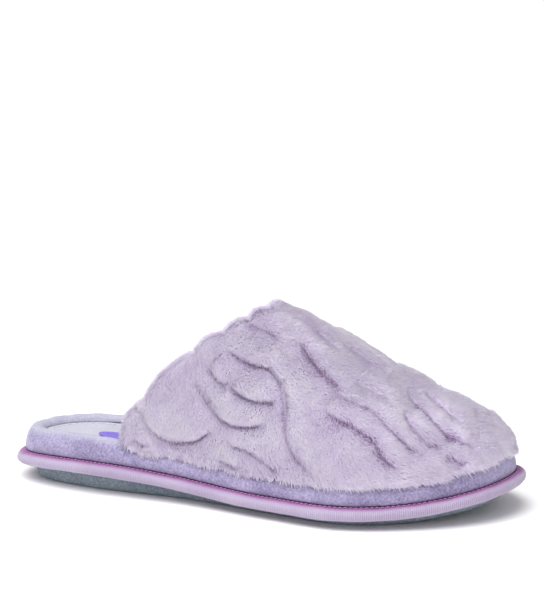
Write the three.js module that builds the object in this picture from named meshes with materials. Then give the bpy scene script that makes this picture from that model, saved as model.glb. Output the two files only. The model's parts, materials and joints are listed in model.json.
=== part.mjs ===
// A fluffy house slipper for the right foot: a backless scuff with a deep plush upper on a
// soft wedge sole. Millimetres. +X points to the toe, +Y to the inner side of the foot and
// +Z up. The origin is on the floor, under the middle of the slipper's box.
import * as THREE from 'three';

// ---- Driving dimensions ---------------------------------------------------------------
const LENGTH = 265; // the whole sole, heel tip to toe tip, over the binding
const HEEL_WEDGE = 9.3; // outsole thickness under the heel
const BALL_WEDGE = 3.9; // outsole thickness under the ball and the toes
const HEEL_TUCK = 2.3; // how much thinner the wedge gets towards the heel tip
const TOE_SPRING = 9.3; // how far the toe tip curls up off the floor
const BAND = 6; // height of the bound edge round the midsole
const TAPE = 1.2; // thickness of the binding tape
const RIM_HEIGHT = 12.6; // padded rim over the bound edge, at the heel
const RIM_HEIGHT_FRONT = 9; // the same rim under the upper
const RIM_TOE_RISE = 2.4; // how much it rises again round the toe
const BOARD_LEVEL = 1.8; // top of the insole board over the bound edge
const OUTSOLE_INSET = 9.9; // outsole edge, in from the bound edge
const GAP = 0.3; // clearance between bonded layers
const SHELL_GAP = 0.8; // clearance between the shells of the upper
const UPPER_INSET = 5; // outside of the plush at its hem, in from the bound edge
const HEM_LEVEL = 2.5; // where the upper starts to curve inwards, over the rim
const DISH = 1.5; // how far the footbed sinks in the middle
const THROAT_REAR = -61; // X of the throat's two rear corners
const THROAT_PEAK = 12.5; // X of the middle of the throat's edge, at the instep
const THROAT_SWEEP = 1.25; // how the throat's edge leans back on the way down
const ROUNDNESS = 1.95; // cross-section of the upper: 2 is an ellipse, more is squarer
const LEAN = 1.7; // how far the ridge leans to the inner side
const PLUSH = 6.5; // plush pile with its knitted back
const FOAM = 3; // interlining under the plush
const LINING = 1.2; // inner lining of the upper
const FACING = 2; // plush turned in round the throat
const THREAD = 0.4; // half the width of the stitched thread

const STEPS = 48; // stations round the sole, an even number
const ACROSS = 6; // divisions across a dished surface
const UPPER_STEPS = 16; // divisions of the upper from the toe to the throat
const UPPER_ACROSS = 20; // divisions of the upper from side to side

// The sole's edge, from the heel tip along the outer side to the toe tip and back.
const OUTLINE = [
  [-132.5, 4], [-126.5, -12.8], [-114, -22.3], [-79.5, -31.4], [-26.5, -35.8],
  [21.2, -46.6], [58.3, -52.8], [90.1, -43], [112, -29.5], [126.5, -13.3],
  [132.5, 7.6], [126.5, 27.5], [112, 41.8], [90.1, 50.4], [58.3, 52.4],
  [21.2, 43], [-26.5, 35.9], [-79.5, 37.1], [-114, 30.6], [-126.5, 20.6],
];

// Height of the upper's ridge over the floor, from behind the throat to the toe.
const RIDGE = [
  [-62, 121.5], [6, 97.4], [35, 86], [65, 68.6], [90, 55.3], [108, 46.6], [120, 40], [127.5, 33],
];

// ---- Levels along the foot ------------------------------------------------------------
const clamp01 = (v) => Math.min(1, Math.max(0, v));
const lerp = (a, b, t) => a + (b - a) * t;

function smooth(from, to, x) {
  const t = clamp01((x - from) / (to - from));
  return t * t * (3 - 2 * t);
}

// How far the sole is off the floor: flat from the heel to the ball, curling up at the toe.
const ground = (x) => TOE_SPRING * clamp01((x / LENGTH - 0.25) / 0.25) ** 2;

function bandBottom(x) {
  const tuck = HEEL_TUCK * clamp01((-0.3 - x / LENGTH) / 0.2) ** 2;
  return ground(x) + lerp(HEEL_WEDGE, BALL_WEDGE, smooth(-0.3, 0.08, x / LENGTH)) - tuck;
}

const bandTop = (x) => bandBottom(x) + BAND;

// A height over the bound edge in the footbed, which is thinner under the upper than at the
// heel. The height is given as at the heel.
function footLevel(x, height) {
  if (height <= BOARD_LEVEL) return bandTop(x) + height;
  const frontRim = RIM_HEIGHT_FRONT + RIM_TOE_RISE * smooth(98, 126, x);
  const front = (frontRim - BOARD_LEVEL) / (RIM_HEIGHT - BOARD_LEVEL);
  return bandTop(x) + BOARD_LEVEL + (height - BOARD_LEVEL) * lerp(1, front, smooth(-94, -66, x));
}

// ---- Outline and side curves ----------------------------------------------------------
const outline = new THREE.CatmullRomCurve3(
  OUTLINE.map(([x, y]) => new THREE.Vector3(x, y, 0)), true, 'centripetal');

// A point of the sole's edge at turn 0..1 from the heel tip, moved inwards by inset.
function edge(turn, inset) {
  const point = outline.getPoint(turn);
  const along = outline.getTangent(turn);
  return new THREE.Vector2(point.x - along.y * inset, point.y + along.x * inset);
}

// Where an inset edge crosses x: the Y of its outer and of its inner side.
function sidesAt(x, inset) {
  const reach = (from, to) => {
    let [rear, front] = [from, to];
    for (let k = 0; k < 40; k += 1) {
      const middle = (rear + front) / 2;
      if (edge(middle, inset).x < x) rear = middle;
      else front = middle;
    }
    return rear;
  };
  const turns = [reach(0, 0.5), reach(1, 0.5)];
  return { turns, y: turns.map((turn) => edge(turn, inset).y) };
}

// A smooth height line through knots of [x, height].
function heightLine(knots) {
  const slope = (k) => {
    const [a, b] = [knots[Math.max(k - 1, 0)], knots[Math.min(k + 1, knots.length - 1)]];
    return (b[1] - a[1]) / (b[0] - a[0]);
  };
  return (x) => {
    let k = 0;
    while (k < knots.length - 2 && x > knots[k + 1][0]) k += 1;
    const span = knots[k + 1][0] - knots[k][0];
    const t = (x - knots[k][0]) / span;
    const bulge = lerp(slope(k) * span - (knots[k + 1][1] - knots[k][1]),
      knots[k + 1][1] - knots[k][1] - slope(k + 1) * span, t);
    return lerp(knots[k][1], knots[k + 1][1], t) + t * (1 - t) * bulge;
  };
}

const ridge = heightLine(RIDGE);

// ---- Closed skins ---------------------------------------------------------------------
// Gathers points and faces, and gives them back as a geometry whose faces point outwards.
class Skin {
  points = [];

  faces = [];

  point(x, y, z) {
    this.points.push(new THREE.Vector3(x, y, z));
    return this.points.length - 1;
  }

  triangle(a, b, c) {
    if (a !== b && b !== c && c !== a) this.faces.push([a, b, c]);
  }

  quad(a, b, c, d) {
    this.triangle(a, b, c);
    this.triangle(a, c, d);
  }

  // Joins neighbouring rows of points with quads.
  strip(rowA, rowB, closed = false) {
    const last = closed ? rowA.length : rowA.length - 1;
    for (let k = 0; k < last; k += 1) {
      const next = (k + 1) % rowA.length;
      this.quad(rowA[k], rowA[next], rowB[next], rowB[k]);
    }
  }

  volume() {
    const [a, b, c] = [0, 1, 2].map(() => new THREE.Vector3());
    return this.faces.reduce((sum, face) => {
      a.copy(this.points[face[0]]);
      b.copy(this.points[face[1]]);
      c.copy(this.points[face[2]]);
      return sum + a.dot(b.cross(c)) / 6;
    }, 0);
  }

  geometry() {
    const faces = this.volume() > 0 ? this.faces : this.faces.map(([a, b, c]) => [a, c, b]);
    const geometry = new THREE.BufferGeometry();
    geometry.setAttribute('position', new THREE.Float32BufferAttribute(
      this.points.flatMap((p) => [p.x, p.y, p.z]), 3));
    geometry.setIndex(faces.flat());
    geometry.computeVertexNormals();
    return geometry;
  }
}

const wholeTurn = Array.from({ length: STEPS }, (_, i) => i / STEPS);

// Sweeps a closed section of [inset, height] round the sole, all the way or over some turns.
function sweep(section, level, turns = wholeTurn) {
  const skin = new Skin();
  const rows = turns.map((turn) => section.map(([inset, height]) => {
    const p = edge(turn, inset);
    return skin.point(p.x, p.y, level(p.x, height));
  }));
  rows.slice(1).forEach((row, k) => skin.strip(rows[k], row, true));
  if (turns === wholeTurn) {
    skin.strip(rows.at(-1), rows[0], true);
  } else {
    const first = rows[0];
    const last = rows.at(-1);
    for (let k = 1; k < section.length - 1; k += 1) {
      skin.triangle(first[0], first[k + 1], first[k]);
      skin.triangle(last[0], last[k], last[k + 1]);
    }
  }
  return skin.geometry();
}

// How far a dished surface sinks at a place 0..1 across a row of the given width.
const sink = (place, width) => DISH * 4 * place * (1 - place) * Math.min(1, width / 60) ** 2;

// Closes a ring over the sole with a surface, flat across or dished.
function cap(skin, ring, dished, flip) {
  const half = STEPS / 2;
  const across = dished ? ACROSS : 1;
  const rows = [];
  for (let k = 0; k <= half; k += 1) {
    const [from, to] = [ring[k], ring[(STEPS - k) % STEPS]];
    const [a, b] = [skin.points[from], skin.points[to]];
    const width = a.distanceTo(b);
    const row = [from];
    for (let j = 1; j < across; j += 1) {
      if (from === to) row.push(from);
      else {
        const p = a.clone().lerp(b, j / across);
        row.push(skin.point(p.x, p.y, p.z - sink(j / across, width)));
      }
    }
    row.push(to);
    rows.push(row);
  }
  for (let k = 0; k < half; k += 1) {
    if (flip) skin.strip(rows[k], rows[k + 1]);
    else skin.strip(rows[k + 1], rows[k]);
  }
}

// A layer of the sole. The rings of [inset, height] run from its underside to its top.
function layer(rings, level, { dishedTop = false, dishedBottom = false } = {}) {
  const skin = new Skin();
  const rows = rings.map(([inset, height]) => wholeTurn.map((turn) => {
    const p = edge(turn, inset);
    return skin.point(p.x, p.y, level(p.x, height));
  }));
  rows.slice(1).forEach((row, k) => skin.strip(rows[k], row, true));
  cap(skin, rows[0], dishedBottom, true);
  cap(skin, rows.at(-1), dishedTop, false);
  return skin.geometry();
}

// ---- The upper's shells ---------------------------------------------------------------
// A point of the upper: along 0 toe .. 1 throat, round 0 outer hem .. 1 inner hem, and depth
// inside the outer surface.
function upperPoint(along, round, depth) {
  const bend = 2 / ROUNDNESS;
  const lift = Math.sin(Math.PI * round) ** bend;
  const swing = Math.sign(0.5 - round) * Math.abs(Math.cos(Math.PI * round)) ** bend;
  const throat = lerp(THROAT_REAR, THROAT_PEAK, lift ** THROAT_SWEEP);
  const tip = edge(0.5, UPPER_INSET + depth);
  const x = tip.x - (tip.x - throat) * along ** 2;
  const [outer, inner] = along === 0 ? [tip.y, tip.y] : sidesAt(x, UPPER_INSET + depth).y;
  const hem = footLevel(x, RIM_HEIGHT) + HEM_LEVEL;
  return new THREE.Vector3(x, (outer + inner) / 2 - (inner - outer) / 2 * swing + LEAN * lift,
    lerp(hem, ridge(x) - depth, lift));
}

// One side of a shell as rows from toe to throat. A hem height adds a straight edge below.
function shellRows(skin, depth, { from = 0, margin = 0, hem = null, steps = UPPER_STEPS }) {
  const rows = [];
  for (let i = 0; i <= steps; i += 1) {
    const along = lerp(from, 1, i / steps);
    const row = [];
    for (let j = 0; j <= UPPER_ACROSS; j += 1) {
      const mirrored = along === 0 && j > UPPER_ACROSS / 2;
      const p = upperPoint(along, lerp(margin, 1 - margin, j / UPPER_ACROSS), depth);
      row.push(mirrored ? row[UPPER_ACROSS - j] : skin.point(p.x, p.y, p.z));
    }
    if (hem) {
      const [a, b] = [skin.points[row[0]], skin.points[row.at(-1)]];
      const low = skin.point(a.x, a.y, hem(a.x));
      row.push(along === 0 ? low : skin.point(b.x, b.y, hem(b.x)));
      row.unshift(low);
    }
    rows.push(row);
  }
  return rows;
}

// A shell of the upper between two depths.
function shell(outerDepth, innerDepth, shape) {
  const skin = new Skin();
  const outside = shellRows(skin, outerDepth, shape);
  const inside = shellRows(skin, innerDepth, shape);
  for (let i = 0; i < outside.length - 1; i += 1) {
    skin.strip(outside[i], outside[i + 1]);
    skin.strip(inside[i + 1], inside[i]);
    skin.quad(outside[i + 1][0], inside[i + 1][0], inside[i][0], outside[i][0]);
    skin.quad(outside[i].at(-1), inside[i].at(-1), inside[i + 1].at(-1), outside[i + 1].at(-1));
  }
  skin.strip(outside.at(-1), inside.at(-1));
  if (shape.from) skin.strip(inside[0], outside[0]);
  return skin.geometry();
}

// ---- The pieces -----------------------------------------------------------------------
const overBandBottom = (x, height) => bandBottom(x) + height;
const overBandTop = (x, height) => bandTop(x) + height;

// Foamed rubber outsole: a wedge, thick at the heel, with a rounded lower edge.
function outsole() {
  const share = (x, t) => lerp(ground(x), bandBottom(x) - GAP, t);
  return layer([
    [OUTSOLE_INSET + 2.6, 0], [OUTSOLE_INSET + 0.7, 0.16],
    [OUTSOLE_INSET, 0.45], [OUTSOLE_INSET, 1],
  ], share);
}

// Midsole foam: its edge fills the binding, and its middle is bonded to the layers around it.
function midsoleFoam() {
  const edgeOfTape = 11.6;
  const wall = TAPE + GAP;
  return layer([
    [edgeOfTape, 0], [edgeOfTape, wall], [wall + 1.8, wall], [wall + 0.1, BAND / 2],
    [wall + 1.8, BAND - wall], [edgeOfTape, BAND - wall], [edgeOfTape, BAND],
  ], overBandBottom);
}

// Ribbed binding tape, folded round the midsole's edge as a rounded C.
function rimBinding() {
  const [inner, corner] = [11, 2.2];
  return sweep([
    [inner, 0], [corner, 0], [0.6, 0.9], [0, BAND / 2], [0.6, BAND - 0.9], [corner, BAND],
    [inner, BAND], [inner, BAND - TAPE], [corner + 0.5, BAND - TAPE], [TAPE, BAND / 2],
    [corner + 0.5, TAPE], [inner, TAPE],
  ], overBandBottom);
}

// Insole board, inside the turned-under margin of the sidewall cover.
function insoleBoard() {
  const low = GAP;
  const high = BOARD_LEVEL - GAP;
  return layer([[14.6, low], [13.4, low], [13.4, high], [14.6, high]], overBandTop);
}

// Velour cover of the footbed's edge: turned under at the bottom and rolled over the rim.
function sidewallCover() {
  return sweep([
    [13, 0.3], [5.6, 0.3], [4.5, 1], [4.4, 3], [5, 6.5], [6.2, 10], [7.6, 12.3],
    [9.4, RIM_HEIGHT], [11.6, 12.7], [13.7, 10.9], [14.4, 8.8], [13.2, 8.8], [12.7, 10.3],
    [11.1, 11.6], [9.4, 12], [8.4, 11.3], [7.2, 9.4], [6.1, 6.2], [5.6, 3], [5.9, 1.5], [13, 1.5],
  ], footLevel);
}

// Footbed foam with its padded rim standing up round the foot.
function footbedFoam() {
  return layer([
    [14, 1.9], [6.7, 1.9], [6.1, 3], [6.6, 6.1], [7.7, 9.1], [8.7, 10.8], [9.5, 11.5],
    [10.9, 11.1], [12.2, 9.9], [12.7, 8.4], [14.6, 4.4],
  ], footLevel, { dishedTop: true });
}

// Memory foam pad, laid in the footbed.
function memoryFoam() {
  return layer([[15.8, 4.9], [15.4, 5.4], [15.6, 7.3], [16.4, 7.5]], footLevel,
    { dishedTop: true, dishedBottom: true });
}

// Brushed sock lining over the pad, sewn to the rolled edge of the sidewall cover.
function sockLining() {
  return layer([[16, 8], [14.9, 8.1], [14.9, 8.8], [16, 9]], footLevel,
    { dishedTop: true, dishedBottom: true });
}

// Plain oval label bonded to the sock lining at the heel.
function insoleLabel() {
  const [centreX, centreY, length, width] = [-67, -1, 36, 15];
  const [clearance, thickness, points] = [0.5, 0.5, 28];
  const top = (x, y) => {
    const [outer, inner] = sidesAt(x, 16).y;
    return footLevel(x, 9) - sink((y - outer) / (inner - outer), inner - outer);
  };
  const skin = new Skin();
  const rows = [0, 1].map((side) => Array.from({ length: points }, (_, k) => {
    const turn = 2 * Math.PI * k / points;
    const x = centreX + length / 2 * Math.cos(turn);
    const y = centreY + width / 2 * Math.sin(turn);
    return skin.point(x, y, top(x, y) + clearance + side * thickness);
  }));
  skin.strip(rows[0], rows[1], true);
  for (let k = 0; k < points / 2; k += 1) {
    const [a, b] = [k, k + 1];
    const [c, d] = [(points - k - 1) % points, (points - k) % points];
    skin.quad(rows[0][d], rows[0][c], rows[0][b], rows[0][a]);
    skin.quad(rows[1][a], rows[1][b], rows[1][c], rows[1][d]);
  }
  return skin.geometry();
}

// Thread: a diamond section swept along the edge of the sole.
function thread(inset, height, level, turns) {
  return sweep([
    [inset, height - THREAD], [inset - THREAD, height], [inset, height + THREAD],
    [inset + THREAD, height],
  ], level, turns);
}

// The seam under the hem runs from one rear corner of the upper round the toe to the other.
function hemSeam() {
  const [start, end] = sidesAt(THROAT_REAR + 6, 0).turns;
  const count = 34;
  const turns = Array.from({ length: count + 1 }, (_, k) => lerp(start, end, k / count));
  return thread(4.3, 9, footLevel, turns);
}

const hemOnRim = (x) => footLevel(x, RIM_HEIGHT) + 0.5;
const hemOnSock = (x) => footLevel(x, 9) + 0.5;
const foamDepth = PLUSH + SHELL_GAP;
const liningDepth = foamDepth + FOAM + SHELL_GAP;
const facingDepth = liningDepth + LINING + SHELL_GAP;

const upperPlush = () => shell(0, PLUSH, { hem: hemOnRim });
const upperInterlining = () => shell(foamDepth, foamDepth + FOAM, { hem: hemOnRim });
const upperLining = () => shell(liningDepth, liningDepth + LINING, { hem: hemOnSock });
const throatFacing = () => shell(facingDepth, facingDepth + FACING,
  { from: 0.9, margin: 0.06, steps: 2 });

// ---- Colours and the assembly ---------------------------------------------------------
const finish = (color, roughness) => ({ color, roughness, metalness: 0 });
const PLUSH_LILAC = finish(0xcfc0da, 0.95);
const VELOUR = finish(0xa9a0c8, 0.9);
const SOCK = finish(0xcfcfdf, 0.92);
const TAPE_PINK = finish(0xc8b0d6, 0.75);
const RUBBER = finish(0x7f8698, 0.85);
const FOAM_WHITE = finish(0xe6e4e0, 0.9);
const BOARD_GREY = finish(0x9c9488, 0.9);
const LABEL_VIOLET = finish(0x8d7fc0, 0.6);
const THREAD_LILAC = finish(0xb7a6cc, 0.7);

const slipper = new THREE.Group();

function add(name, geometry, colours) {
  const mesh = new THREE.Mesh(geometry, new THREE.MeshStandardMaterial(colours));
  mesh.name = name;
  slipper.add(mesh);
}

add('outsole', outsole(), RUBBER);
add('midsole_foam', midsoleFoam(), FOAM_WHITE);
add('rim_binding', rimBinding(), TAPE_PINK);
add('binding_thread', thread(3.3, 0.75, overBandTop), THREAD_LILAC);
add('insole_board', insoleBoard(), BOARD_GREY);
add('footbed_foam', footbedFoam(), FOAM_WHITE);
add('memory_foam_pad', memoryFoam(), FOAM_WHITE);
add('sidewall_cover', sidewallCover(), VELOUR);
add('sock_lining', sockLining(), SOCK);
add('sock_thread', thread(19.2, 10, footLevel), THREAD_LILAC);
add('insole_label', insoleLabel(), LABEL_VIOLET);
add('hem_seam_thread', hemSeam(), THREAD_LILAC);
add('upper_plush', upperPlush(), PLUSH_LILAC);
add('upper_interlining', upperInterlining(), FOAM_WHITE);
add('upper_lining', upperLining(), SOCK);
add('throat_facing', throatFacing(), PLUSH_LILAC);

export default slipper;
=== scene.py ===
# %% [markdown]
# # A plush house slipper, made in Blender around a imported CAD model
# The slipper is a backless scuff: a soft wedge sole, a padded footbed wrapped in velour and a
# deep plush upper. The CAD model fixes every size and place. This file gives each layer its
# real surface: ribbed tape, velour, stitches, a sculpted upper and its pile.
# Shapes are worked out in millimetres and turned into metres when a piece is added.

# %% Load the fixed frame
import json
import math

import bpy
import numpy as np
from mathutils import Matrix, Vector
from mathutils.kdtree import KDTree

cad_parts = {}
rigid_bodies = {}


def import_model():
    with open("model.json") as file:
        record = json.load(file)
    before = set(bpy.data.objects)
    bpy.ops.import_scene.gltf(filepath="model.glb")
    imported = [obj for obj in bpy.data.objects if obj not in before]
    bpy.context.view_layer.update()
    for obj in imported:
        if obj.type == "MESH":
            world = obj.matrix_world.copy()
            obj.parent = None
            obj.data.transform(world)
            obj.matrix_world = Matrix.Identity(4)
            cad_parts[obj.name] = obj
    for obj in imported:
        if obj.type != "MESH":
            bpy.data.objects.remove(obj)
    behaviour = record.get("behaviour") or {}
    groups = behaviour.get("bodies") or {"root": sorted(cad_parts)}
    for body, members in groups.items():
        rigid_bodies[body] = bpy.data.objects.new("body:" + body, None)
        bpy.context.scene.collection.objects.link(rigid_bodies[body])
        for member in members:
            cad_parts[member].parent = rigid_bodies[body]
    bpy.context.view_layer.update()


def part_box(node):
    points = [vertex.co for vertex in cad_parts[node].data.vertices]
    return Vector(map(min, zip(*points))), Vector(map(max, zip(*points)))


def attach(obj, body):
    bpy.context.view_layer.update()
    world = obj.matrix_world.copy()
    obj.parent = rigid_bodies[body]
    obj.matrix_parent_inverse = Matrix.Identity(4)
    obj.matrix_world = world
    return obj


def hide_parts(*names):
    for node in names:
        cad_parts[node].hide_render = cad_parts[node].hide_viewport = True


for thing in list(bpy.data.objects):
    bpy.data.objects.remove(thing)
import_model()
MM = 0.001

# %% [markdown]
# ## The sole's edge and its levels
# Everything on a slipper follows the edge of its sole, so the edge comes first, as one closed
# curve through the same points as the CAD binding. A curve through few points stays smooth,
# where a dense polygon would carry small dents into every layer. The points repeat the CAD's,
# so the layers made here lie where the CAD layers lie, and the length is read from its box.

# %% Edge points, heel tip round the outer side to the toe tip and back
OUTLINE = np.array([
    (-132.5, 4), (-126.5, -12.8), (-114, -22.3), (-79.5, -31.4), (-26.5, -35.8),
    (21.2, -46.6), (58.3, -52.8), (90.1, -43), (112, -29.5), (126.5, -13.3),
    (132.5, 7.6), (126.5, 27.5), (112, 41.8), (90.1, 50.4), (58.3, 52.4),
    (21.2, 43), (-26.5, 35.9), (-79.5, 37.1), (-114, 30.6), (-126.5, 20.6),
])
binding_low, binding_high = (np.array(corner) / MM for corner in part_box("rim_binding"))
LENGTH = binding_high[0] - binding_low[0]


def sole_edge(turns):
    """Points of the edge at turns 0..1 from the heel tip, on a centripetal curve."""
    place = np.atleast_1d(turns) % 1.0 * len(OUTLINE)
    knot = np.floor(place).astype(int)
    t = (place - knot)[:, None]
    p0, p1, p2, p3 = (OUTLINE[(knot + k) % len(OUTLINE)] for k in (-1, 0, 1, 2))
    d0, d1, d2 = (np.sqrt(np.linalg.norm(b - a, axis=1))[:, None]
                  for a, b in ((p0, p1), (p1, p2), (p2, p3)))
    m1 = ((p1 - p0) / d0 - (p2 - p0) / (d0 + d1) + (p2 - p1) / d1) * d1
    m2 = ((p2 - p1) / d1 - (p3 - p1) / (d1 + d2) + (p3 - p2) / d2) * d1
    return (p1 + m1 * t + (3 * (p2 - p1) - 2 * m1 - m2) * t ** 2
            + (2 * (p1 - p2) + m1 + m2) * t ** 3)


def even_turns(count):
    """Turns at equal steps along each side, so that turn k faces turn count - k."""
    sides = []
    for start in (0.0, 0.5):
        fine = np.linspace(start, start + 0.5, 2001)
        run = np.r_[0, np.cumsum(np.linalg.norm(np.diff(sole_edge(fine), axis=0), axis=1))]
        sides.append(np.interp(np.linspace(0, run[-1], count // 2, endpoint=False), run, fine))
    return np.concatenate(sides)


def inset_edge(turns, inset):
    """The edge moved inwards by inset."""
    step = 1e-4
    along = sole_edge(turns + step) - sole_edge(turns - step)
    along /= np.linalg.norm(along, axis=1)[:, None]
    return sole_edge(turns) + np.stack([-along[:, 1], along[:, 0]], 1) * np.reshape(inset, (-1, 1))


print("edge:", round(LENGTH, 1), "mm long, centre of its box", np.round((binding_low + binding_high) / 2, 1))

# %% Levels along the foot
BAND = 6.0
BOARD = 1.8
RIM = 12.6
RIM_FRONT = 9
RIM_TOE_RISE = 2.4
HEM_OVER_RIM = 2.5
TOE_SPRING = 9.3
HEEL_WEDGE = 9.3
WEDGE_DROP = 5.4
HEEL_TUCK = 2.3


def ease(x, start, end):
    """A soft step from 0 at start to 1 at end."""
    t = np.clip((x - start) / (end - start), 0, 1)
    return t * t * (3 - 2 * t)


def ground(x):
    """The underside: flat, and curling up at the toe."""
    return TOE_SPRING * np.clip((x / LENGTH - 0.25) / 0.25, 0, 1) ** 2


def band_bottom(x):
    """Top of the wedge, under the bound edge."""
    wedge = HEEL_WEDGE - WEDGE_DROP * ease(x, -0.3 * LENGTH, 0.08 * LENGTH)
    return ground(x) + wedge - HEEL_TUCK * np.clip((-0.3 - x / LENGTH) / 0.2, 0, 1) ** 2


def band_top(x):
    return band_bottom(x) + BAND


def dropping_level(x, height, start, end):
    """A height over the bound edge that drops to the front rim between start and end."""
    front = (RIM_FRONT + RIM_TOE_RISE * ease(x, 98, 126) - BOARD) / (RIM - BOARD)
    share = 1 + (front - 1) * ease(x, start, end)
    return band_top(x) + np.minimum(height, BOARD) + np.maximum(height - BOARD, 0) * share


def foot_level(x, height):
    """The CAD's level: lower under the upper than at the heel."""
    return dropping_level(x, height, -94, -66)


print("rim over the floor:", [round(float(foot_level(x, RIM)), 1) for x in (-120, -60, 40, 125)])

# %% [markdown]
# ## Swept rings and dished layers
# A slipper's sole is a stack of layers that share one outline, so two helpers make almost all
# of it. One sweeps a closed section round the edge, for tape and covers. The other closes a
# stack of rings with an upper and a lower surface, for boards and foams. Writing points into
# a mesh is quicker than modelling by hand here, and it keeps the gaps between layers exact.

# %% Helpers that turn points and faces into pieces


def strip_faces(rows, columns, closed=False, start=0):
    """Quads between neighbouring rows of points."""
    k, j = np.meshgrid(np.arange(rows - 1), np.arange(columns if closed else columns - 1), indexing="ij")
    after = (j + 1) % columns
    corners = [k * columns + j, k * columns + after, (k + 1) * columns + after, (k + 1) * columns + j]
    return np.stack(corners, -1).reshape(-1, 4) + start


def tidy_faces(faces):
    """Faces with repeated corners dropped, so that fans at a tip become triangles."""
    cleaned = []
    for face in faces:
        corners = [c for k, c in enumerate(face) if c != face[k - 1]]
        if len(set(corners)) > 2:
            cleaned.append(corners)
    return cleaned


def signed_volume(points, faces):
    """Positive where the faces of a closed skin point outwards."""
    fans = np.array([(f[0], f[k], f[k + 1]) for f in faces for k in range(1, len(f) - 1)])
    a, b, c = (points[fans[:, k]] for k in range(3))
    return np.einsum("ij,ij->i", a, np.cross(b, c)).sum() / 6


def add_mesh(name, points, faces, material, closed=True, smooth=True):
    """A mesh object in metres, its faces turned outwards if it is a closed skin."""
    points = np.asarray(points, float).reshape(-1, 3)
    faces = tidy_faces(faces.tolist() if isinstance(faces, np.ndarray) else faces)
    if closed and signed_volume(points, faces) < 0:
        faces = [face[::-1] for face in faces]
    mesh = bpy.data.meshes.new(name)
    mesh.from_pydata((points * MM).tolist(), [], faces)
    if material:
        mesh.materials.append(material)
    if smooth:
        mesh.shade_smooth()
    piece = bpy.data.objects.new(name, mesh)
    bpy.context.scene.collection.objects.link(piece)
    return piece


def settle(piece, slot, *nodes):
    """Ties a finished piece to the slipper and hides the CAD nodes it stands for. Its slot is not used."""
    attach(piece, "root")
    if nodes:
        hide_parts(*nodes)
    print(f"{piece.name}: {sum(len(p.vertices) - 2 for p in piece.data.polygons)} triangles")
    return piece


def give_attribute(piece, name, kind, key, values):
    attribute = piece.data.attributes.new(name, kind, "POINT")
    attribute.data.foreach_set(key, np.ascontiguousarray(values, np.float32).ravel())


def settled_mesh(piece):
    """Applies a piece's modifiers and leaves it a plain mesh."""
    bpy.context.view_layer.update()
    evaluated = piece.evaluated_get(bpy.context.evaluated_depsgraph_get())
    mesh = bpy.data.meshes.new_from_object(evaluated)
    piece.modifiers.clear()
    piece.data = mesh
    return piece


# %% Sweep a section, and stack rings into a layer


def sweep(section, level, count):
    """Points (count, section, 3) of a section of [inset, height] swept round the sole."""
    turns = even_turns(count)
    points = []
    for inset, height in section:
        xy = inset_edge(turns, inset)
        points.append(np.column_stack([xy, level(xy[:, 0], height)]))
    return np.stack(points, 1)


def ring_faces(points):
    """Faces of a swept section, closed both ways."""
    count, corners = points.shape[:2]
    faces = strip_faces(count + 1, corners, closed=True)
    return faces % (count * corners)


def sink(place, width):
    """How far the dished footbed sinks at a place 0..1 across a row."""
    return 6.0 * place * (1 - place) * np.minimum(1, width / 60) ** 2


def layer(rings, level, count=240, across=1, dished=(False, False)):
    """A closed layer: rings of [inset, height] from its underside to its top."""
    rows = sweep(rings, level, count)
    points = [rows.transpose(1, 0, 2).reshape(-1, 3)]
    faces = [strip_faces(len(rings), count, closed=True)]
    total = len(rings) * count
    for which, ring in enumerate((0, len(rings) - 1)):
        half = count // 2
        columns = across if dished[which] else 1
        table = np.zeros((half + 1, columns + 1), int)
        for k in range(half + 1):
            table[k, 0] = ring * count + k
            table[k, -1] = ring * count + (count - k) % count
            a, b = rows[k, ring], rows[(count - k) % count, ring]
            if table[k, 0] == table[k, -1]:
                table[k] = table[k, 0]
                continue
            place = np.arange(1, columns) / columns
            inner = a + (b - a) * place[:, None]
            inner[:, 2] -= sink(place, np.linalg.norm(b - a))
            table[k, 1:-1] = total + np.arange(columns - 1)
            total += columns - 1
            points.append(inner)
        quads = np.stack([table[:-1, :-1], table[:-1, 1:], table[1:, 1:], table[1:, :-1]], -1).reshape(-1, 4)
        faces.append(quads if which else quads[:, ::-1])
    faces[0] = faces[0][:, ::-1]
    return np.concatenate(points), np.concatenate(faces)


EDGE_RUN = 640
print("a ring of 240 stations steps", round(EDGE_RUN / 240, 2), "mm")

# %% [markdown]
# ## Node trees written as sums
# Shaders and Geometry Nodes are both trees of nodes with sockets. Linking them one call at a
# time hides what they work out. Here one class adds nodes to either kind of tree, and one
# wraps a socket so that a sum on values adds the Math nodes itself.

# %% A tree, and a value in it


class Value:
    """A socket that can be added, multiplied and so on."""

    def __init__(self, tree, socket):
        self.tree = tree
        self.socket = socket

    def _math(self, operation, a, b):
        return self.tree.node("ShaderNodeMath", {"operation": operation}, {0: a, 1: b})

    def __add__(self, other):
        return self._math("ADD", self, other)

    __radd__ = __add__

    def __mul__(self, other):
        return self._math("MULTIPLY", self, other)

    __rmul__ = __mul__

    def __sub__(self, other):
        return self._math("SUBTRACT", self, other)

    def __rsub__(self, other):
        return self._math("SUBTRACT", other, self)

    def __gt__(self, other):
        return self._math("GREATER_THAN", self, other)

    def __lt__(self, other):
        return self._math("LESS_THAN", self, other)


class Tree:
    """Adds nodes to a node tree: a type, its settings, then the values or links of its sockets."""

    def __init__(self, tree):
        self.tree = tree
        tree.nodes.clear()

    def node(self, kind, settings=None, inputs=None, output=0):
        made = self.tree.nodes.new(kind)
        for key, value in (settings or {}).items():
            if key == "stops":
                for k, (place, colour) in enumerate(value):
                    stop = made.color_ramp.elements[k] if k < 2 else made.color_ramp.elements.new(place)
                    stop.position = place
                    stop.color = (*colour, 1)
            else:
                setattr(made, key, value)
        for key, value in (inputs or {}).items():
            if isinstance(value, Value):
                self.tree.links.new(value.socket, made.inputs[key])
            else:
                made.inputs[key].default_value = value
        return Value(self, made.outputs[output]) if len(made.outputs) else made


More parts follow.
